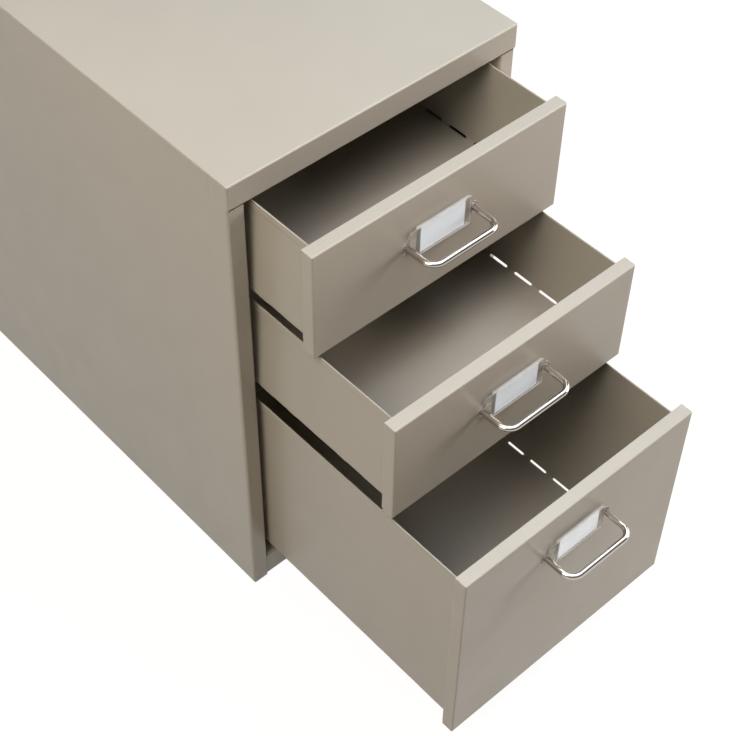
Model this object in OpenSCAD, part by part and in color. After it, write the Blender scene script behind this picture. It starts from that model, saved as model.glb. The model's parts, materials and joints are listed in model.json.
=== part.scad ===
// Small steel drawer cabinet: two shallow drawers over one deep drawer.
// Millimetres. X runs to the right, Y to the back, Z up.
// The origin is on the floor, under the middle of the body.

/* [Body] */
// Width of the body
body_w = 280; // [250:5:360]
// Depth of the body
body_d = 410; // [350:5:520]
// Thickness of the body sheet
body_sheet = 0.8; // [0.6:0.1:1]
// Inside radius of the folds in the body sheet
body_fold = 1.2; // [0.8:0.1:1.4]
// Width of each front upright
upright_w = 15.5; // [13:0.5:20]
// Depth of the return behind each upright
upright_return = 12; // [8:0.5:15]
// Width of the flanges at the top and back of each side panel
flange_w = 15; // [13:0.5:18]
// Width of the flange at the bottom of each side panel
foot_flange_w = 20; // [16:1:26]
// Height of the upstand at the back of the base panel
base_up = 12; // [8:1:16]

/* [Fascia and rail] */
// Inside radius of the folds in the top and its fascia
top_fold = 0.5; // [0.4:0.1:1]
// Height of the fascia under the top
fascia_h = 22; // [18:1:30]
// Distance that the fascia stands in front of the uprights
fascia_proud = 1.1; // [0.9:0.1:2]
// Gap between the fascia and the top of each upright
upright_gap = 1.7; // [1.4:0.1:3]
// Depth of the return behind the fascia
fascia_return = 14; // [10:1:18]
// Length of the fascia's corner tabs along the sides
tab_l = 19; // [14:1:24]
// Width of the seam around a corner tab
tab_seam = 0.25; // [0.1:0.05:0.4]
// Height of the rail under the drawers
rail_h = 26.4; // [20:0.1:40]
// Depth of the rail's flanges
rail_d = 18; // [14:1:22]
// Distance that the rail stands behind the face of the uprights
rail_back = 1; // [0.5:0.5:3]
// Inside radius of the rail's folds
rail_fold = 2.2; // [1:0.2:3]

/* [Drawer fronts] */
// Height of a shallow drawer front
shallow_h = 100.5; // [85:0.5:130]
// Height of the deep drawer front
deep_h = 206.9; // [150:0.1:260]
// Gap above and below each front
front_gap = 3.2; // [2.4:0.1:4.5]
// Gap beside each front
side_gap = 0.5; // [0.5:0.1:2]
// Depth of a front
front_d = 11.4; // [9:0.1:15]
// Thickness of the sheet of a front
front_sheet = 0.8; // [0.6:0.1:1]
// Inside radius of the folds around a front
front_fold = 0.4; // [0.3:0.1:1]
// Width of the lips at the back of a front's sides
front_lip = 22; // [20:0.5:26]
// Height of the lip at the back of a front's top
front_edge_lip = 7; // [5:0.5:10]
// Gap between a shallow front's flanges and the ends of its sides
flange_gap = 0.2; // [0.1:0.1:0.6]
// Gap between the deep front's flanges and the ends of its sides
deep_flange_gap = 0.9; // [0.1:0.1:1.2]
// Height of the notch at the back corners of a front's sides
corner_notch = 2.4; // [1.5:0.1:3]

/* [Open drawers] */
// Distance that the top drawer stands open
open_top = 70.2; // [0:0.1:250]
// Distance that the middle drawer stands open
open_middle = 156; // [0:0.1:250]
// Distance that the bottom drawer stands open
open_bottom = 234.1; // [0:0.1:250]

/* [Drawer boxes] */
// Gap between a closed drawer and the back panel
rear_gap = 17.4; // [6:0.2:30]
// Thickness of the sheet of a drawer box
tray_sheet = 0.7; // [0.5:0.1:0.9]
// Inside radius of the folds in a drawer box
tray_fold = 0.8; // [0.5:0.1:1.2]
// Gap between an upright and the foot of a drawer box's wall
tray_side_gap = 4.8; // [4:0.1:7]
// Distance that each wall of a shallow box leans inward from its foot to its rim
wall_lean = 4; // [0:0.5:4.5]
// Distance that each wall of the deep box leans inward from its foot to its rim
deep_wall_lean = 1.6; // [0:0.2:4.4]
// Height of the upright foot of each wall, under the part that leans
wall_foot = 4; // [4:0.5:8]
// Distance from the top of a shallow front down to the rim of its box
rim_drop = 2.1; // [1:0.1:4]
// Distance from the top of the deep front down to the rim of its box
deep_rim_drop = 8.5; // [3:0.5:12]
// Distance from the bottom of a front up to the underside of its box
floor_rise = 10.2; // [8:0.2:12]
// Height of the hem folded down outside the rim
hem_h = 6; // [4:0.5:8]
// Length of rim without a hem next to the front
hem_stop = 0.5; // [0.5:0.5:10]
// Width of the flanges at the front of a drawer box
tray_flange = 15; // [14:0.5:16]
// Height of the upright flange at the front of a drawer box floor
toe_h = 12; // [8:1:16]

/* [Fold perforations] */
// Length of a slot in the fold
slot_l = 19.6; // [12:0.2:22]
// Width of a slot in the fold
slot_w = 2; // [1.6:0.1:3]
// Spacing of the slots
slot_pitch = 28.5; // [26:0.5:40]
// Distance from a shallow front's face to the middle of its box's first slot
slot_first = 47; // [36:1:60]
// Distance from the deep front's face to the middle of its box's first slot
deep_slot_first = 53; // [36:1:60]

/* [Drawer stops] */
// Distance from a drawer's back to its stop ears
stop_in = 91; // [60:1:160]
// Height of a stop ear
stop_h = 14; // [8:1:20]
// Distance that a stop ear reaches past the edge of an upright
stop_reach = 1.4; // [1:0.1:2]

/* [Drawer backs] */
// Distance from the rim down to the top of a drawer back
back_drop = 3; // [2:0.5:6]
// Width of the flanges around a drawer back
back_flange = 12; // [8:1:16]
// Height that a drawer back stands above the floor of its box
back_lift = 1.2; // [1:0.1:2]

/* [Runners] */
// Thickness of the runner sheet
runner_sheet = 1; // [0.8:0.1:1.2]
// Inside radius of the folds in a runner
runner_fold = 0.8; // [0.5:0.1:1.2]
// Height of a runner's leg on the side panel
runner_leg = 26; // [20:1:32]
// Distance from the foot of a drawer box's wall to a runner's step
runner_step_in = 8.5; // [7:0.5:10]
// Width of the shelf that carries a drawer box
runner_shelf = 12; // [8:1:16]
// Gap between a shelf and the box that it carries
runner_gap = 0.5; // [0.4:0.1:0.8]
// Gap between a rim and the runner or guide above it
rim_gap = 1.5; // [1:0.1:2]
// Gap between the rail's flange and the front end of a runner
runner_start = 4; // [3:1:8]
// Gap between the back panel and the back end of a runner
runner_end = 8; // [4:1:16]

/* [Handles] */
// Thickness of the handle wire
wire_d = 5; // [4:0.1:6]
// Spacing of a handle's legs
handle_w = 66.8; // [60:0.2:76]
// Distance from a front's face to the middle of the handle's bar
handle_reach = 28; // [24:0.5:36]
// Radius of a handle's bends, along the middle of the wire
handle_bend = 10; // [7:0.5:14]
// Distance from a front's left edge to the middle of its handle
handle_at = 121; // [100:1:150]
// Distance from the top of a front down to its handle
handle_drop = 46; // [40:1:54]
// Gap around a handle's leg in its holes
leg_gap = 0.1; // [0.05:0.05:0.3]
// Length of leg past its nut
leg_past = 1.6; // [0.5:0.1:2.5]
// Width across the flats of a handle nut
nut_w = 8; // [7.5:0.1:9]
// Thickness of a handle nut
nut_h = 4; // [3:0.1:4.5]

/* [Label holders] */
// Thickness of the holder's wall
holder_t = 0.8; // [0.6:0.1:1]
// Width of the holder's window
holder_w = 54; // [48:0.5:56]
// Height of the holder above the handle's legs
holder_up = 17; // [14:0.5:20]
// Height of the holder below the handle's legs
holder_down = 10; // [8:0.5:12]
// Distance from the front's face to the face of the window
holder_proud = 4.2; // [3.8:0.1:5]
// Depth of the ledges above and below the card
holder_ledge = 2.6; // [2.2:0.1:2.8]
// Radius of the beads along the holder's top and bottom edges
holder_bead = 0.7; // [0.5:0.1:0.9]
// Radius of the holder's tabs around the legs
holder_tab_r = 5; // [4.5:0.1:5.5]
// Width of the card
card_w = 44; // [36:1:46]
// Thickness of the card
card_t = 0.3; // [0.2:0.05:0.5]
// Gap around the card in its holder
card_gap = 0.15; // [0.1:0.05:0.3]

/* [Screws] */
// Thread diameter of the sheet metal screws
screw_d = 3; // [2.5:0.1:3.5]
// Head diameter of the sheet metal screws
screw_head_d = 6; // [5:0.1:7]
// Head height of the sheet metal screws
screw_head_h = 2; // [1.5:0.1:2.4]
// Length of thread on the sheet metal screws
screw_l = 7; // [5:0.5:8]
// Distance from a front's top or bottom to its nearest screws
front_screw_in = 25; // [20:1:35]
// Distance from the body's top or bottom to its nearest back screws
back_screw_in = 40; // [25:1:80]
// Number of screws down each edge of the back panel
back_screw_n = 4; // [2:1:6]

/* [Bumpers] */
// Diameter of a bumper on the back panel
bumper_d = 10; // [8:1:16]
// Gap between a bumper and a closed drawer
bumper_gap = 0.6; // [0.5:0.1:2]
// Distance from the middle of the body to each bumper
bumper_x = 80; // [40:5:90]

/* [Hidden] */
$fn = 48;

paint = [0.70, 0.68, 0.63];
steel = [0.74, 0.73, 0.71];

// Levels, from the floor up
base_z = body_sheet;
rail_z = base_z;
rail_top = rail_z + rail_h;
bottom_z = rail_top + front_gap;
middle_z = bottom_z + deep_h + front_gap;
top_z = middle_z + shallow_h + front_gap;
fascia_z = top_z + shallow_h + front_gap;
roof_z = fascia_z + fascia_h;

// Main planes
half_w = body_w / 2;
face_y = -body_d / 2;
inner_x = half_w - upright_w;
back_in = body_d - 2 * body_sheet;
front_half = inner_x - side_gap;
wall_x = inner_x - tray_side_gap;
tray_end = back_in - rear_gap;
stop_at = tray_end - stop_in;
bumper_h = rear_gap - bumper_gap;

// Front height of a drawer: 0 is the top drawer, 1 the middle and 2 the bottom
function front_h(n) = n == 2 ? deep_h : shallow_h;
function front_z(n) = n == 0 ? top_z : n == 1 ? middle_z : bottom_z;
function front_open(n) = n == 0 ? open_top : n == 1 ? open_middle : open_bottom;
function floor_z(n) = front_z(n) + floor_rise;
function rim_z(n) = front_z(n) + front_h(n) - (n == 2 ? deep_rim_drop : rim_drop);
function handle_z(n) = front_z(n) + front_h(n) - handle_drop;
handle_x = -front_half + handle_at;
front_screw_x = wall_x - (tray_flange + tray_sheet + max(wall_lean, deep_wall_lean)) / 2;
lip_h = floor_rise + 5;

// Lean of the left wall of a box: its size at the rim, its angle, and the x of its outer face at height z
function lean(n) = n == 2 ? deep_wall_lean : wall_lean;
function wall_h(n) = rim_z(n) - floor_z(n);
function lean_angle(n) = atan(lean(n) / (wall_h(n) - wall_foot));
function wall_at(n, z) = -wall_x + max(0, z - floor_z(n) - wall_foot) * tan(lean_angle(n));

// ---------- Shapes for folded sheet ----------

// A strip of sheet along the corners p, given on the middle of the sheet,
// with thickness t and inside fold radius r
module folded(p, t, r) {
    last = len(p) - 1;
    dirs = [for (i = [0 : last - 1]) (p[i + 1] - p[i]) / norm(p[i + 1] - p[i])];
    rc = r + t / 2;
    // length taken from each straight by the fold at corner i
    function take(i) = i == 0 || i == last ? 0 : rc * tan(turn(dirs[i - 1], dirs[i]) / 2);
    for (i = [0 : last - 1]) {
        a = p[i] + dirs[i] * take(i);
        b = p[i + 1] - dirs[i] * take(i + 1);
        side = [-dirs[i][1], dirs[i][0]] * t / 2;
        polygon([a - side, b - side, b + side, a + side]);
    }
    if (last > 1) {
        for (i = [1 : last - 1]) fold_arc(p[i], dirs[i - 1], dirs[i], t, r);
    }
}

function turn(d0, d1) = acos(max(-1, min(1, d0 * d1)));

// The curved part of one fold at corner c, from direction d0 to direction d1
module fold_arc(c, d0, d1, t, r) {
    rc = r + t / 2;
    s = d0[0] * d1[1] - d0[1] * d1[0] > 0 ? 1 : -1;
    n0 = [-d0[1], d0[0]] * s;
    n1 = [-d1[1], d1[0]] * s;
    o = c - d0 * rc * tan(turn(d0, d1) / 2) + n0 * rc;
    reach = 2 * (r + t);
    intersection() {
        translate(o) difference() {
            circle(r = r + t);
            circle(r = r);
        }
        polygon([o, o - n0 * reach, o - (n0 + n1) * reach, o - n1 * reach]);
    }
}

// A rectangle from y = 0 to y = d and of half width w, with both corners at y = 0 rounded
module round_face(w, d, r) {
    translate([-w, r]) square([2 * w, d - r]);
    translate([-w + r, 0]) square([2 * w - 2 * r, d]);
    translate([-w + r, r]) circle(r = r);
    translate([w - r, r]) circle(r = r);
}

// A slot outline of length l along Y and width w
module slot_outline(l, w) {
    translate([-w / 2, -(l - w) / 2]) square([w, l - w]);
    translate([0, -(l - w) / 2]) circle(d = w);
    translate([0, (l - w) / 2]) circle(d = w);
}

// Extrudes an XZ outline along Y, from y0 to y1
module along_y(y0, y1) {
    translate([0, y1, 0]) rotate([90, 0, 0]) linear_extrude(height = y1 - y0) children();
}

// Extrudes a YZ outline along X, from x0 to x1
module along_x(x0, x1) {
    translate([x0, 0, 0]) rotate([90, 0, 90]) linear_extrude(height = x1 - x0) children();
}

// Draws a part in the left half again on the right
module right_hand() {
    mirror([1, 0, 0]) children();
}

// A box between two corners
module block(a, b) {
    translate(a) cube(b - a);
}

// Waste outside a rounded long edge at the left and bottom of an XZ outline
module edge_waste(r) {
    difference() {
        translate([-1, -1]) square([r + 1, r + 1]);
        translate([r, r]) circle(r = r);
    }
}

// ---------- Body ----------

// Plan of a side panel; x runs from the outer face inward and y from the front back
module side_plan() {
    h = body_sheet / 2;
    folded([
        [upright_w - h, upright_return],
        [upright_w - h, h],
        [h, h],
        [h, body_d - h],
        [flange_w, body_d - h]
    ], body_sheet, body_fold);
}

module side_top_plan() {
    h = body_sheet / 2;
    folded([
        [h, tab_l + tab_seam],
        [h, body_d - h],
        [flange_w, body_d - h]
    ], body_sheet, body_fold);
}

module side_panel() {
    edge = body_sheet + body_fold;
    flange_from = tab_l + tab_seam;
    flange_to = back_in - 0.2;
    difference() {
        translate([-half_w, face_y, 0]) {
            translate([0, 0, base_z])
                linear_extrude(height = fascia_z - base_z) side_plan();
            translate([0, 0, fascia_z - 1])
                linear_extrude(height = roof_z - body_sheet - fascia_z + 1) side_top_plan();
            block([0, flange_from, roof_z - 2 * body_sheet], [flange_w, flange_to, roof_z - body_sheet]);
            block([body_sheet / 2, rail_d + 1, base_z], [foot_flange_w, flange_to, base_z + body_sheet]);
        }
        translate([-half_w, 0, base_z]) along_y(face_y - 1, -face_y + 1) edge_waste(edge);
        translate([-half_w, face_y, fascia_z])
            block([edge, -1, -upright_gap], [upright_w + 1, edge, 1]);
        for (z = back_screw_zs)
            translate([-half_w + flange_w / 2, -face_y + 1, z])
                rotate([90, 0, 0]) cylinder(d = screw_d, h = body_sheet + 2);
    }
}

back_screw_zs = [for (i = [0 : back_screw_n - 1])
    base_z + back_screw_in + i * (roof_z - base_z - 2 * back_screw_in) / (back_screw_n - 1)];

module side_panel_left() {
    color(paint) side_panel();
}

module side_panel_right() {
    color(paint) right_hand() side_panel();
}

module top_panel() {
    h = body_sheet / 2;
    front = -fascia_proud;
    edge = body_sheet + top_fold;
    skirt_x = half_w - flange_w - 0.5;
    color(paint) translate([0, face_y, 0]) intersection() {
        union() {
            along_x(-half_w, half_w) folded([
                [body_d, roof_z - h],
                [front + h, roof_z - h],
                [front + h, fascia_z + h],
                [fascia_return, fascia_z + h]
            ], body_sheet, top_fold);
            for (x = [-half_w, half_w - body_sheet])
                block([x, front + edge / 2, fascia_z], [x + body_sheet, tab_l, roof_z - h]);
            block([-skirt_x, body_d - body_sheet, fascia_z], [skirt_x, body_d, roof_z - h]);
        }
        translate([0, front, fascia_z - 1])
            linear_extrude(height = fascia_h + 2) round_face(half_w, body_d + fascia_proud + 1, edge);
        along_y(front - 1, body_d + 1) translate([0, roof_z]) mirror([0, 1])
            round_face(half_w, fascia_h + 1, body_sheet);
        along_x(-half_w - 1, half_w + 1) top_side_view();
    }
}

// Side outline of the top panel with the outer fold at its front rounded
module top_side_view() {
    edge = body_sheet + top_fold;
    translate([-fascia_proud + edge, roof_z - edge]) circle(r = edge);
    translate([-fascia_proud + edge, fascia_z + edge]) circle(r = edge);
    translate([-fascia_proud, fascia_z + edge]) square([body_d, fascia_h - 2 * edge]);
    translate([-fascia_proud + edge, fascia_z]) square([body_d - edge + fascia_proud, fascia_h]);
}

module back_panel() {
    x = half_w - body_sheet - body_fold - 0.1;
    color(paint) difference() {
        block([-x, face_y + back_in, base_z + 0.3], [x, face_y + body_d - body_sheet, roof_z - body_sheet - 0.3]);
        for (z = back_screw_zs, s = [-1, 1])
            translate([s * (half_w - flange_w / 2), -face_y + 1, z])
                rotate([90, 0, 0]) cylinder(d = screw_d, h = 3 * body_sheet + 2);
    }
}

// A plate under the foot flanges with an upstand in front of the back panel
module base_panel() {
    h = body_sheet / 2;
    edge = body_sheet + body_fold;
    x = half_w - edge;
    up_x = half_w - foot_flange_w - 1;
    back = back_in - h - 0.1;
    color(paint) translate([0, face_y, 0]) {
        block([-x, edge, 0], [x, back - edge, body_sheet]);
        block([-x, back - edge - 1, 0], [-up_x - 1, body_d - edge, body_sheet]);
        block([up_x + 1, back - edge - 1, 0], [x, body_d - edge, body_sheet]);
        along_x(-up_x, up_x) folded([[rail_d, h], [back, h], [back, base_up]], body_sheet, body_fold);
    }
}

module bottom_rail() {
    h = body_sheet / 2;
    color(paint) translate([0, face_y, 0]) along_x(-inner_x, inner_x) folded([
        [rail_d, rail_z + h],
        [rail_back + h, rail_z + h],
        [rail_back + h, rail_top - h],
        [rail_d, rail_top - h]
    ], body_sheet, rail_fold);
}

// ---------- Runners and guides ----------

// A stepped runner: the upper shelf carries drawer n,
// and the lower shelf holds down the rim of the drawer below
module runner(n) {
    h = runner_sheet / 2;
    leg_x = -half_w + body_sheet + h;
    step_x = -wall_x + runner_step_in;
    shelf_z = floor_z(n) - runner_gap - h;
    rim_below = n == 2 ? floor_z(2) - floor_z(0) + rim_z(1) : rim_z(n + 1);
    low_z = rim_below + rim_gap + h;
    along_y(face_y + rail_d + runner_start, face_y + back_in - runner_end) folded([
        [leg_x, low_z + runner_leg],
        [leg_x, low_z],
        [step_x, low_z],
        [step_x, shelf_z],
        [step_x + runner_shelf, shelf_z]
    ], runner_sheet, runner_fold);
}

// An angle over the rim of the top drawer
module guide() {
    h = runner_sheet / 2;
    leg_x = -half_w + body_sheet + h;
    low_z = rim_z(0) + rim_gap + h;
    along_y(face_y + rail_d + runner_start, face_y + back_in - runner_end) folded([
        [leg_x, roof_z - 3 * body_sheet],
        [leg_x, low_z],
        [-wall_x + runner_step_in, low_z]
    ], runner_sheet, runner_fold);
}

module runner_left(n) {
    color(steel) runner(n);
}

module runner_right(n) {
    color(steel) right_hand() runner(n);
}

module guide_left() {
    color(steel) guide();
}

module guide_right() {
    color(steel) right_hand() guide();
}

// ---------- Fasteners and bumpers ----------

// A pan head screw with its head on z = 0 and its thread pointing down
module screw() {
    edge = screw_head_h / 2;
    difference() {
        union() {
            cylinder(d = screw_head_d, h = screw_head_h - edge);
            translate([0, 0, screw_head_h - edge])
                cylinder(d1 = screw_head_d, d2 = screw_head_d - 2 * edge, h = edge);
            translate([0, 0, -screw_l + 1]) cylinder(d = screw_d, h = screw_l - 1);
            translate([0, 0, -screw_l]) cylinder(d1 = screw_d / 3, d2 = screw_d, h = 1);
        }
        for (a = [0, 90]) rotate(a)
            translate([-screw_head_d / 4, -0.4, screw_head_h - 1]) cube([screw_head_d / 2, 0.8, 2]);
    }
}

module back_screws() {
    color(steel) for (z = back_screw_zs, s = [-1, 1])
        translate([s * (half_w - flange_w / 2), -face_y, z]) rotate([-90, 0, 0]) screw();
}

module bumpers() {
    color([0.1, 0.1, 0.1]) for (n = [0 : 2], s = [-1, 1])
        translate([s * bumper_x, face_y + back_in, (floor_z(n) + rim_z(n)) / 2])
            rotate([90, 0, 0]) bumper();
}

// A rubber button with a rounded face
module bumper() {
    edge = min(1.5, bumper_h / 2);
    rotate_extrude() {
        square([bumper_d / 2 - edge, bumper_h]);
        square([bumper_d / 2, bumper_h - edge]);
        translate([bumper_d / 2 - edge, bumper_h - edge]) intersection() {
            circle(r = edge);
            square(edge);
        }
    }
}

// ---------- Drawer parts ----------

// Moves a drawer part to its drawer's place; y = 0 is the face of its front
module in_drawer(n) {
    translate([0, face_y - front_open(n), 0]) children();
}

module drawer_box(n) {
    color(paint) in_drawer(n) difference() {
        union() {
            box_sheet(n);
            for (s = [0, 1]) mirror([s, 0, 0]) box_side_details(n);
        }
        for (s = [0, 1]) mirror([s, 0, 0]) box_side_cuts(n);
    }
}

// Floor and walls in one sheet
module box_sheet(n) {
    h = tray_sheet / 2;
    x = wall_x - h;
    z = floor_z(n) + h;
    foot = floor_z(n) + wall_foot - 1;
    along_y(front_d, tray_end) {
        folded([[-x, foot], [-x, z], [x, z], [x, foot]], tray_sheet, tray_fold);
        for (s = [0, 1]) mirror([s, 0]) leaning_wall(n, foot - 1);
    }
    toe_x = wall_x - tray_flange - 3;
    block([-toe_x, front_d, z], [toe_x, front_d + tray_sheet, z + toe_h]);
}

// Section of the left wall from height z0, with a slight bend where its lean begins
module leaning_wall(n, z0) {
    t = tray_sheet;
    a = lean_angle(n);
    bend_z = floor_z(n) + wall_foot;
    top = wall_top(n);
    polygon([
        [-wall_x, z0], [-wall_x, bend_z], top,
        top + t * [cos(a), -sin(a)], [-wall_x + t, bend_z - t * tan(a / 2)], [-wall_x + t, z0]
    ]);
}

// Top of the left wall's outer face, just under its rounded rim
function wall_top(n) = [wall_at(n, rim_z(n) - tray_sheet), rim_z(n) - tray_sheet];

// Hem, front flange and stop ear of the left wall
module box_side_details(n) {
    h = tray_sheet / 2;
    hem = hem_h - tray_sheet;
    roll = 0.94 * tray_sheet;
    along_y(front_d + hem_stop, tray_end) translate(wall_top(n)) rotate(-lean_angle(n)) {
        circle(r = roll);
        translate([-roll, -hem]) square([roll + h, hem]);
    }
    along_y(front_d, front_d + tray_sheet)
        wall_strip(n, h, tray_flange, floor_z(n) + 3, rim_z(n) - hem_h);
    along_y(stop_at, stop_at + tray_sheet)
        wall_strip(n, -ear_out(n), h, ear_z(n), ear_z(n) + stop_h);
}

// XZ outline from height z0 to z1, between distances d0 and d1 inward from the left wall
module wall_strip(n, d0, d1, z0, z1) {
    a = wall_at(n, z0);
    b = wall_at(n, z1);
    polygon([[a + d0, z0], [a + d1, z0], [b + d1, z1], [b + d0, z1]]);
}

function ear_z(n) = (floor_z(n) + rim_z(n) - stop_h) / 2;
function ear_out(n) = tray_side_gap + lean(n) / 2 + stop_reach;
function first_slot(n) = n == 2 ? deep_slot_first : slot_first;

// Fold slots, ear window and screw holes of the left wall
module box_side_cuts(n) {
    first = first_slot(n);
    count = floor((tray_end - 20 - first) / slot_pitch);
    window = stop_at + tray_sheet;
    for (i = [0 : count])
        translate([-wall_x, first + i * slot_pitch, floor_z(n)]) rotate([0, 45, 0])
            linear_extrude(height = 8, center = true) slot_outline(slot_l, slot_w);
    block([-wall_x - 1, window, ear_z(n)],
          [-wall_x + lean(n) + tray_sheet + 1, window + ear_out(n), ear_z(n) + stop_h]);
    for (z = front_screw_zs(n))
        translate([-front_screw_x, front_d - 1, z]) rotate([-90, 0, 0]) cylinder(d = screw_d, h = tray_sheet + 2);
}

function front_screw_zs(n) = [front_z(n) + front_screw_in, front_z(n) + front_h(n) - front_screw_in];

module drawer_back(n) {
    h = tray_sheet / 2;
    y = tray_end - h;
    low = floor_z(n) + tray_sheet;
    top = rim_z(n) - back_drop;
    low_x = wall_x - tray_sheet - tray_fold - 2.5;
    top_x = low_x - lean(n);
    color(paint) in_drawer(n) {
        for (s = [0, 1]) mirror([s, 0, 0]) drawer_back_half(n, low + back_lift, top);
        block([-low_x, y - back_flange, low], [low_x, tray_end, low + tray_sheet]);
        block([-low_x, y - h, low], [low_x, tray_end, low + 3]);
        block([-top_x, y - back_flange / 2, top - tray_sheet], [top_x, tray_end, top]);
    }
}

// Left half of a drawer back from height z0 to z1, with a flange along the leaning wall
module drawer_back_half(n, z0, z1) {
    h = tray_sheet / 2;
    y = tray_end - h;
    flange = tray_sheet + h;
    intersection() {
        translate([-wall_x, 0, floor_z(n)]) rotate([0, atan(lean(n) / wall_h(n)), 0])
            linear_extrude(height = 3 * (z1 - z0), center = true)
                folded([[flange, y - back_flange], [flange, y], [wall_x + 10, y]], tray_sheet, tray_fold);
        block([-wall_x - 1, y - back_flange - 1, z0], [0.5, tray_end + 1, z1]);
    }
}

// A pan folded from sheet, open at the back, with lips that the drawer box screws to
module drawer_front(n) {
    t = front_sheet;
    edge = front_sheet + front_fold;
    w = front_half;
    z0 = front_z(n);
    z1 = z0 + front_h(n);
    color(paint) in_drawer(n) difference() {
        union() {
            difference() {
                pan_solid(w, z0, z1, 0, front_d, edge);
                pan_solid(w - t, z0 + t, z1 - t, t, front_d + 1, front_fold);
            }
            for (s = [0, 1]) mirror([s, 0, 0])
                block([-w + t / 2, front_d - t, z0 + t / 2], [-w + front_lip, front_d, z1 - t / 2]);
            block([-w + t, front_d - t, z0 + t / 2], [w - t, front_d, z0 + lip_h]);
            block([-w + t, front_d - t, z1 - front_edge_lip], [w - t, front_d, z1 - t / 2]);
        }
        for (s = [0, 1], e = [0, 1])
            mirror([s, 0, 0]) translate([-w, 0, (z0 + z1) / 2]) mirror([0, 0, e])
                corner_cuts(front_h(n) / 2, n == 2 ? deep_flange_gap : flange_gap);
        for (s = [0, 1], z = front_screw_zs(n)) mirror([s, 0, 0])
            translate([-front_screw_x, front_d - t - 1, z]) rotate([-90, 0, 0]) cylinder(d = screw_d, h = t + 2);
        for (x = leg_xs)
            translate([x, -1, handle_z(n)]) rotate([-90, 0, 0]) cylinder(d = wire_d + 2 * leg_gap, h = t + 2);
    }
}

// Gap between the end of a front's left side and the flange over it, and a notch where the folds meet
// at the back; x = 0 is the side's face and z = top the flange's
module corner_cuts(top, gap) {
    t = front_sheet;
    under = top - t;
    fold_end = 2 * t + front_fold;
    notch_start = front_d - 2 * t;
    notch_in = 1.6 * t;
    back = front_d + 1;
    block([-1, fold_end, under - gap], [t, back, under]);
    block([-1, notch_start, under - corner_notch], [notch_in, back, under]);
}

// Solid of a pan with its four face edges rounded
module pan_solid(w, z0, z1, y0, y1, r) {
    intersection() {
        translate([0, y0, z0]) linear_extrude(height = z1 - z0) round_face(w, y1 - y0, r);
        translate([0, 0, (z0 + z1) / 2]) along_x(-w - 1, w + 1)
            translate([y0, 0]) rotate(-90) round_face((z1 - z0) / 2, y1 - y0, r);
    }
}

leg_xs = [handle_x - handle_w / 2, handle_x + handle_w / 2];
leg_in = front_sheet + nut_h + leg_past;

// A wire handle: two legs, two bends and a bar
module handle(n) {
    straight = handle_reach - handle_bend;
    color([0.8, 0.79, 0.77]) in_drawer(n) translate([handle_x, 0, handle_z(n)]) {
        for (s = [0, 1]) mirror([s, 0, 0]) {
            translate([-handle_w / 2, -straight, 0]) rotate([-90, 0, 0]) cylinder(d = wire_d, h = straight + leg_in);
            translate([-handle_w / 2 + handle_bend, -straight, 0])
                rotate([0, 0, 180]) rotate_extrude(angle = 90) translate([handle_bend, 0]) circle(d = wire_d);
        }
        translate([-handle_w / 2 + handle_bend, -handle_reach, 0]) rotate([0, 90, 0])
            cylinder(d = wire_d, h = handle_w - 2 * handle_bend);
    }
}

module handle_nuts(n) {
    color(steel) in_drawer(n) for (x = leg_xs)
        translate([x, front_sheet, handle_z(n)]) rotate([-90, 0, 0]) difference() {
            intersection() {
                rotate(30) cylinder(r = nut_w / 2 / cos(30), h = nut_h, $fn = 6);
                translate([0, 0, -nut_w / 8]) cylinder(r1 = nut_w * 0.67, r2 = nut_w * 0.46, h = nut_h + nut_w / 8);
            }
            translate([0, 0, -1]) cylinder(d = wire_d, h = nut_h + 2);
        }
}

// ---------- Label holders ----------

slope_w = 3;
tab_x = handle_w / 2;

// Plan of the holder: tabs on the front's face, and a window standing in front of it
module holder_plan() {
    h = holder_t / 2;
    e = tab_x + holder_tab_r;
    k = holder_w / 2;
    folded([
        [-e, -h], [-k - slope_w, -h], [-k, -holder_proud + h],
        [k, -holder_proud + h], [k + slope_w, -h], [e, -h]
    ], holder_t, 0.3);
}

// Front view of the holder, with the handle's legs on y = 0
module holder_view() {
    k = holder_w / 2;
    polygon([
        [-tab_x, holder_tab_r], [-k, holder_up], [k, holder_up], [tab_x, holder_tab_r],
        [tab_x, -holder_tab_r], [k, -holder_down], [-k, -holder_down], [-tab_x, -holder_tab_r]
    ]);
    for (x = [-tab_x, tab_x]) translate([x, 0]) circle(r = holder_tab_r);
}

module label_holder(n) {
    k = holder_w / 2;
    color([0.86, 0.88, 0.9, 0.5]) in_drawer(n) translate([handle_x, 0, handle_z(n)]) {
        difference() {
            intersection() {
                translate([0, 0, -holder_down]) linear_extrude(height = holder_up + holder_down) holder_plan();
                along_y(-holder_proud - 1, 1) holder_view();
            }
            for (x = [-tab_x, tab_x])
                translate([x, -holder_t - 1, 0]) rotate([-90, 0, 0]) cylinder(d = wire_d + 2 * leg_gap, h = holder_t + 2);
        }
        holder_ledges(k);
    }
}

// Ledges behind the window's top and bottom edges, each with a lip behind the card,
// and rounded beads along the outside
module holder_ledges(k) {
    front = -holder_proud;
    back = front + holder_ledge;
    lip = 0.6;
    for (s = [1, -1]) {
        z = s > 0 ? holder_up - holder_t : -holder_down;
        block([-k + 1, front + holder_t / 2, z], [k - 1, back, z + holder_t]);
        block([-k + 1, back - lip, s > 0 ? z - 1 : z], [k - 1, back, s > 0 ? z + holder_t : z + holder_t + 1]);
        translate([-k, front + holder_bead * 0.6, s > 0 ? holder_up - holder_bead : -holder_down + holder_bead])
            rotate([0, 90, 0]) cylinder(r = holder_bead, h = 2 * k);
    }
}

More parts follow.
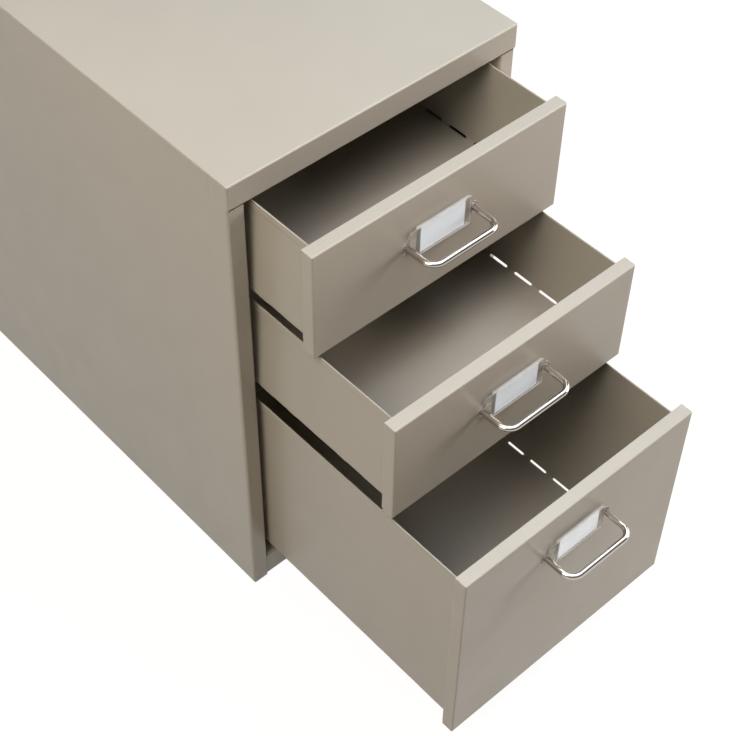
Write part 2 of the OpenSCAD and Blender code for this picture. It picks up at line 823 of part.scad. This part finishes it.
module label_card(n) {
    low = -holder_down + holder_t + card_gap;
    high = holder_up - holder_t - card_gap;
    y = -holder_proud + holder_bead * 1.6 + card_gap;
    color([0.93, 0.95, 0.98]) in_drawer(n)
        translate([handle_x, 0, handle_z(n)])
            block([-card_w / 2, y, low], [card_w / 2, y + card_t, high]);
}

module front_screws(n) {
    color(steel) in_drawer(n) for (s = [-1, 1], z = front_screw_zs(n))
        translate([s * front_screw_x, front_d + tray_sheet, z]) rotate([-90, 0, 0]) screw();
}

side_panel_left();
side_panel_right();
top_panel();
back_panel();
base_panel();
bottom_rail();
runner_left(0);  // runner_left_top
runner_left(1);  // runner_left_middle
runner_left(2);  // runner_left_bottom
runner_right(0);  // runner_right_top
runner_right(1);  // runner_right_middle
runner_right(2);  // runner_right_bottom
guide_left();
guide_right();
back_screws();
bumpers();
drawer_box(0);  // drawer_box_top
drawer_box(1);  // drawer_box_middle
drawer_box(2);  // drawer_box_bottom
drawer_back(0);  // drawer_back_top
drawer_back(1);  // drawer_back_middle
drawer_back(2);  // drawer_back_bottom
drawer_front(0);  // drawer_front_top
drawer_front(1);  // drawer_front_middle
drawer_front(2);  // drawer_front_bottom
handle(0);  // handle_top
handle(1);  // handle_middle
handle(2);  // handle_bottom
handle_nuts(0);  // handle_nuts_top
handle_nuts(1);  // handle_nuts_middle
handle_nuts(2);  // handle_nuts_bottom
label_holder(0);  // label_holder_top
label_holder(1);  // label_holder_middle
label_holder(2);  // label_holder_bottom
label_card(0);  // label_card_top
label_card(1);  // label_card_middle
label_card(2);  // label_card_bottom
front_screws(0);  // front_screws_top
front_screws(1);  // front_screws_middle
front_screws(2);  // front_screws_bottom
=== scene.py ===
import json

import bpy
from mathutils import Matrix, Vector

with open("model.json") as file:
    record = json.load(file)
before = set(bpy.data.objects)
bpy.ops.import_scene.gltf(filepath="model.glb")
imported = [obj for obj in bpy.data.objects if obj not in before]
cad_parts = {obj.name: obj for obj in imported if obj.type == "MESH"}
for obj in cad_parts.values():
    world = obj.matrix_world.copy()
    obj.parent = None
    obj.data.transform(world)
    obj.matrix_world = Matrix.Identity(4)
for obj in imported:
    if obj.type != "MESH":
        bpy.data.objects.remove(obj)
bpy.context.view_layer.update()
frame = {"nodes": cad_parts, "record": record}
nodes = frame["nodes"]
scene = bpy.context.scene
scene.view_settings.view_transform = "Standard"


# ---------- Helpers for node trees ----------
# Lengths are in metres, and a noise scale is in cycles per metre.

def new_material(name):
    mat = bpy.data.materials.new(name)
    mat.use_nodes = True
    tree = mat.node_tree
    tree.nodes.clear()
    out = tree.nodes.new("ShaderNodeOutputMaterial")
    return mat, tree, out


def new_surface(name):
    """A material with one Principled shader, and that shader's inputs."""
    mat, tree, out = new_material(name)
    shader = tree.nodes.new("ShaderNodeBsdfPrincipled")
    tree.links.new(shader.outputs["BSDF"], out.inputs["Surface"])
    return mat, tree, shader.inputs


def add(tree, kind, **inputs):
    made = tree.nodes.new(kind)
    for key, value in inputs.items():
        made.inputs[key].default_value = value
    return made


def math_node(tree, operation, *values):
    """A Math node over sockets or plain numbers."""
    made = tree.nodes.new("ShaderNodeMath")
    made.operation = operation
    for socket, value in zip(made.inputs, values):
        if isinstance(value, float):
            socket.default_value = value
        else:
            tree.links.new(value, socket)
    return made.outputs[0]


def coords(tree):
    return tree.nodes.new("ShaderNodeTexCoord").outputs["Object"]


def stretched(tree, where, scale):
    made = add(tree, "ShaderNodeMapping", Scale=scale)
    tree.links.new(where, made.inputs["Vector"])
    return made.outputs["Vector"]


def noise(tree, where, scale, detail=2.0):
    made = add(tree, "ShaderNodeTexNoise", Scale=scale, Detail=detail, Roughness=0.5)
    tree.links.new(where, made.inputs["Vector"])
    return made.outputs["Fac"]


def spread(tree, value, low, high, from_low=0.3, from_high=0.7):
    """Maps from_low..from_high to low..high; most of a noise lies between 0.3 and 0.7."""
    made = tree.nodes.new("ShaderNodeMapRange")
    made.inputs["From Min"].default_value = from_low
    made.inputs["From Max"].default_value = from_high
    made.inputs["To Min"].default_value = low
    made.inputs["To Max"].default_value = high
    tree.links.new(value, made.inputs["Value"])
    return made.outputs["Result"]


def blend_colors(tree, fac, a, b):
    """a where fac is 0, b where it is 1; colours are tuples or sockets."""
    made = tree.nodes.new("ShaderNodeMix")
    made.data_type = "RGBA"
    fac_in, a_in, b_in = made.inputs[0], made.inputs[6], made.inputs[7]
    if isinstance(fac, float):
        fac_in.default_value = fac
    else:
        tree.links.new(fac, fac_in)
    for socket, value in ((a_in, a), (b_in, b)):
        if isinstance(value, tuple):
            socket.default_value = value + (1.0,)
        else:
            tree.links.new(value, socket)
    return made.outputs[2]


def mottle(tree, pattern, low, high):
    """Two colours mixed by a noise."""
    return blend_colors(tree, spread(tree, pattern, 0.0, 1.0), low, high)


def bump(tree, height, strength, distance, normal=None):
    made = add(tree, "ShaderNodeBump", Strength=strength, Distance=distance)
    tree.links.new(height, made.inputs["Height"])
    if normal is not None:
        tree.links.new(normal, made.inputs["Normal"])
    return made.outputs["Normal"]


def srgb(r, g, b):
    def linear(c):
        c = c / 255.0
        return c / 12.92 if c <= 0.04045 else ((c + 0.055) / 1.055) ** 2.4
    return (linear(r), linear(g), linear(b))


def shade(color, factor):
    return tuple(min(1.0, c * factor) for c in color)


# ---------- Materials ----------

FOLD_RADIUS = 0.0009
# how far the paint's colour is lifted on folds and edges: a painted highlight
FOLD_HIGHLIGHT = 1.8
FOLD_SAMPLES = 4
PAINT_ROUGHNESS = (0.33, 0.40)
SPECK_SHARE = 0.35


def fold_highlight_and_normal(tree):
    """Mask for a painted highlight, 0 on flat sheet and rising to 1 on a fold or an edge, and the
    normal rounded over it.
    """
    rounder = add(tree, "ShaderNodeBevel", Radius=FOLD_RADIUS)
    rounder.samples = FOLD_SAMPLES
    rounded = rounder.outputs["Normal"]
    agree = tree.nodes.new("ShaderNodeVectorMath")
    agree.operation = "DOT_PRODUCT"
    tree.links.new(rounded, agree.inputs[0])
    tree.links.new(
        tree.nodes.new("ShaderNodeNewGeometry").outputs["True Normal"], agree.inputs[1])
    return spread(tree, agree.outputs["Value"], 1.0, 0.0, 0.80, 0.97), rounded


def paint(name, base):
    """Satin powder coat: orange peel, faint drifts of tone and gloss, and a painted highlight
    over folds.
    """
    mat, tree, surface = new_surface(name)
    where = coords(tree)
    drift = mottle(tree, noise(tree, where, 9.0, 3.0), shade(base, 0.965), shade(base, 1.03))
    speck = mottle(tree, noise(tree, where, 1400.0), shade(base, 0.97), shade(base, 1.03))
    flat_tone = blend_colors(tree, SPECK_SHARE, drift, speck)
    fold_highlight, rounded = fold_highlight_and_normal(tree)
    # colour lifted over folds and edges: a painted highlight
    tone_and_highlight = blend_colors(tree, fold_highlight, flat_tone, shade(base, FOLD_HIGHLIGHT))
    tree.links.new(tone_and_highlight, surface["Base Color"])
    gloss = spread(tree, noise(tree, where, 35.0, 3.0), *PAINT_ROUGHNESS)
    tree.links.new(gloss, surface["Roughness"])
    peel = bump(tree, noise(tree, where, 520.0), 0.10, 0.0006, rounded)
    fine_peel = bump(tree, noise(tree, where, 1900.0, 1.0), 0.08, 0.0002, peel)
    tree.links.new(fine_peel, surface["Normal"])
    return mat


def metal(name, base, rough, stretch, scale, vary=0.05, lines=0.03):
    """Plated metal; a stretch below 1 draws its fine lines out along that axis."""
    mat, tree, surface = new_surface(name)
    where = coords(tree)
    streak = noise(tree, stretched(tree, where, stretch), scale, 3.0)
    surface["Metallic"].default_value = 1.0
    tree.links.new(mottle(tree, streak, shade(base, 0.94), base), surface["Base Color"])
    cloud = noise(tree, where, 60.0)
    tree.links.new(spread(tree, cloud, rough, rough + vary), surface["Roughness"])
    tree.links.new(bump(tree, streak, lines, 0.0001), surface["Normal"])
    return mat


CLEAR_IOR = 1.49
CLEAR_FACE = (0.80, 0.82, 0.84), (0.88, 0.89, 0.90)
CLEAR_EDGE_SHADE = (0.54, 0.51, 0.48), (0.66, 0.64, 0.61)
CLEAR_ALPHA_FACE = 0.05
CLEAR_ALPHA_EDGE = 0.46


def clear_plastic(name):
    """Clear moulded plastic: nearly unseen through its flat front, denser along its edges, where
    a darker, warmer colour is partly plastic seen edge-on and partly painted shade.

    The front faces along Y in the object's own axes, so the edges are where the normal turns
    away from Y.
    """
    mat, tree, surface = new_surface(name)
    where = coords(tree)
    haze = noise(tree, where, 90.0)
    split = tree.nodes.new("ShaderNodeSeparateXYZ")
    tree.links.new(tree.nodes.new("ShaderNodeTexCoord").outputs["Normal"], split.inputs[0])
    facing = math_node(tree, "ABSOLUTE", split.outputs["Y"])
    # edges get a darker, warmer colour and less see-through: partly plastic seen edge-on, partly
    # painted shade for the dark lines clear edges show
    edge_shade_mask = spread(tree, facing, 1.0, 0.0, 0.55, 0.97)
    face, shaded_edge = mottle(tree, haze, *CLEAR_FACE), mottle(tree, haze, *CLEAR_EDGE_SHADE)
    tree.links.new(blend_colors(tree, edge_shade_mask, face, shaded_edge), surface["Base Color"])
    surface["IOR"].default_value = CLEAR_IOR
    tree.links.new(spread(tree, haze, 0.04, 0.10), surface["Roughness"])
    tree.links.new(bump(tree, noise(tree, where, 160.0, 1.0), 0.05, 0.0003), surface["Normal"])
    alpha = spread(tree, edge_shade_mask, CLEAR_ALPHA_FACE, CLEAR_ALPHA_EDGE, 0.0, 1.0)
    tree.links.new(alpha, surface["Alpha"])
    return mat


CARD_LOOK_AND_PAINTED_GLOW = {
    "Roughness": 0.75,
    "Coat Weight": 1.0,
    "Coat Roughness": 0.08,
    "Coat IOR": 1.8,
    # the emission is a painted glow that makes the card brighter; the card is no lamp
    "Emission Color": (0.80, 0.92, 1.0, 1.0),
    "Emission Strength": 0.2,
}


def card(name, base):
    """Plain card with fine fibres and a painted glow that lifts it brighter, under its glossy
    clear cover.
    """
    mat, tree, surface = new_surface(name)
    fibre = noise(tree, stretched(tree, coords(tree), (1.0, 1.0, 2.5)), 1500.0, 3.0)
    tree.links.new(mottle(tree, fibre, shade(base, 0.96), base), surface["Base Color"])
    for key, value in CARD_LOOK_AND_PAINTED_GLOW.items():
        surface[key].default_value = value
    tree.links.new(bump(tree, fibre, 0.15, 0.0001), surface["Normal"])
    return mat


def rubber(name, dark, light):
    """Matt rubber with a fine speckle."""
    mat, tree, surface = new_surface(name)
    speck = noise(tree, coords(tree), 900.0)
    tree.links.new(mottle(tree, speck, dark, light), surface["Base Color"])
    surface["Roughness"].default_value = 0.8
    tree.links.new(bump(tree, speck, 0.2, 0.0002), surface["Normal"])
    return mat


BY_SLOT = {
    "body_paint": paint("powder_coat", srgb(173, 167, 155)),
    "runner_steel": metal("zinc_plate", (0.60, 0.60, 0.60), 0.32, (1.0, 0.08, 1.0), 500.0),
    "screw_steel": metal("bright_zinc", (0.66, 0.65, 0.63), 0.24, (1.0, 1.0, 1.0), 900.0),
    "handle_nickel": metal(
        "polished_nickel", (0.52, 0.48, 0.43), 0.12, (0.15, 1.0, 1.0), 700.0, 0.03, 0.01),
    "holder_clear": clear_plastic("clear_plastic"),
    "card_white": card("white_card", srgb(240, 246, 252)),
    "bumper_rubber": rubber("black_rubber", (0.018, 0.018, 0.018), (0.034, 0.033, 0.032)),
}
for part in frame["record"]["subparts"]:
    obj = nodes[part["node"]]
    obj.data.materials.clear()
    obj.data.materials.append(BY_SLOT[part["material_slot"]])


# ---------- Camera ----------
# Place, turn and lens come from a fit to the straight edges of the body and the fronts.

cam = bpy.data.cameras.new("camera")
cam.sensor_width = 36.0
cam.lens = 77.9504
cam.clip_start = 0.05
cam.clip_end = 60.0
cam_obj = bpy.data.objects.new("camera", cam)
cam_obj.location = (-0.61081, -0.86167, 1.18849)
cam_obj.rotation_euler = (0.728972, -0.010009, -0.732326)
scene.collection.objects.link(cam_obj)
scene.camera = cam_obj


# ---------- Floor ----------

FLOOR_HALF = 40.0
FLOOR_DROP = 0.0005
FLOOR_COLOR = (0.36, 0.32, 0.26, 1.0)
# as seen, this share of the floor is an even glow, which gives 0.96; the rest shows the shadow
GLOW_SHARE = 0.8
GLOW_STRENGTH = 1.2


def seen_or_mirrored(tree):
    """1 for a camera ray, or one that a glossy or clear surface sends on; 0 otherwise."""
    path = tree.nodes.new("ShaderNodeLightPath").outputs
    mirrored = math_node(tree, "MAXIMUM", path["Is Camera Ray"], path["Is Glossy Ray"])
    return math_node(tree, "MAXIMUM", mirrored, path["Is Transmission Ray"])


def floor_material():
    """Floor that is seen as white, with the object's shadow kept faintly."""
    mat, tree, out = new_material("studio_floor")
    matte = add(tree, "ShaderNodeBsdfDiffuse", Color=FLOOR_COLOR)
    glow = add(tree, "ShaderNodeEmission", Strength=GLOW_STRENGTH)
    share = math_node(tree, "MULTIPLY", seen_or_mirrored(tree), GLOW_SHARE)
    both = tree.nodes.new("ShaderNodeMixShader")
    tree.links.new(share, both.inputs[0])
    tree.links.new(matte.outputs[0], both.inputs[1])
    tree.links.new(glow.outputs[0], both.inputs[2])
    tree.links.new(both.outputs[0], out.inputs["Surface"])
    return mat


corners = [(x * FLOOR_HALF, y * FLOOR_HALF, 0.0) for x, y in ((-1, -1), (1, -1), (1, 1), (-1, 1))]
floor_mesh = bpy.data.meshes.new("floor")
floor_mesh.from_pydata(corners, [], [(0, 1, 2, 3)])
floor = bpy.data.objects.new("floor", floor_mesh)
floor.location = (0, 0, -FLOOR_DROP)
floor.data.materials.append(floor_material())
scene.collection.objects.link(floor)


# ---------- World ----------
# Seen and mirrored only: white at the horizon, darker walls and a bright ceiling.
# It sends no light of its own onto the object; the lamps do that.

HORIZON = 1.0
WALL = 0.18
CEILING = 1.1
SKY_FILL = 0.0

world = bpy.data.worlds.new("studio")
scene.world = world
world.use_nodes = True
sky = world.node_tree
sky.nodes.clear()
sky_out = sky.nodes.new("ShaderNodeOutputWorld")
sky_light = sky.nodes.new("ShaderNodeBackground")
direction = sky.nodes.new("ShaderNodeSeparateXYZ")
sky.links.new(sky.nodes.new("ShaderNodeTexCoord").outputs["Generated"], direction.inputs[0])
up = direction.outputs["Z"]
walls = spread(sky, up, HORIZON, WALL, 0.02, 0.12)
ceiling = spread(sky, up, 0.0, CEILING - WALL, 0.55, 0.85)
strength = sky.nodes.new("ShaderNodeMix")
sky.links.new(seen_or_mirrored(sky), strength.inputs["Factor"])
strength.inputs["A"].default_value = SKY_FILL
sky.links.new(math_node(sky, "ADD", walls, ceiling), strength.inputs["B"])
sky.links.new(strength.outputs["Result"], sky_light.inputs["Strength"])
sky.links.new(sky_light.outputs[0], sky_out.inputs["Surface"])


# ---------- Lamps ----------
# Eight soft boxes, all turned to one point; the tints follow the light in the photo.

AIM = Vector((0.0, -0.2, 0.25))
LAMPS = (
    # name, place, width and height, watts, tint
    ("overhead", (0.9, -0.1, 2.2), (1.2, 1.2), 26.5, (0.76, 0.88, 1.0)),
    ("overhead_left", (-0.5, -0.7, 2.2), (1.0, 1.0), 6.5, (0.85, 0.86, 1.0)),
    ("overhead_front", (0.25, -0.6, 1.5), (0.6, 0.6), 3.7, (0.94, 0.91, 0.96)),
    ("right_front", (2.0, -1.1, 1.0), (1.2, 1.2), 40.0, (1.0, 0.96, 0.95)),
    ("right_low", (1.6, -0.8, 0.5), (1.0, 0.7), 9.0, (1.0, 0.76, 0.56)),
    ("left_high", (-1.6, -0.4, 1.9), (1.0, 1.0), 15.2, (1.0, 0.94, 0.81)),
    ("left_near", (-0.9, -0.45, 1.35), (0.6, 0.6), 7.0, (1.0, 0.88, 0.73)),
    ("behind", (-0.4, 2.3, 1.1), (1.4, 1.2), 14.0, (1.0, 0.98, 0.95)),
)
for name, place, size, watts, tint in LAMPS:
    lamp = bpy.data.lights.new(name, "AREA")
    lamp.shape = "RECTANGLE"
    lamp.size, lamp.size_y = size
    lamp.energy = watts
    lamp.color = tint
    lamp_obj = bpy.data.objects.new(name, lamp)
    lamp_obj.location = place
    lamp_obj.rotation_euler = (AIM - Vector(place)).to_track_quat("-Z", "Y").to_euler()
    scene.collection.objects.link(lamp_obj)
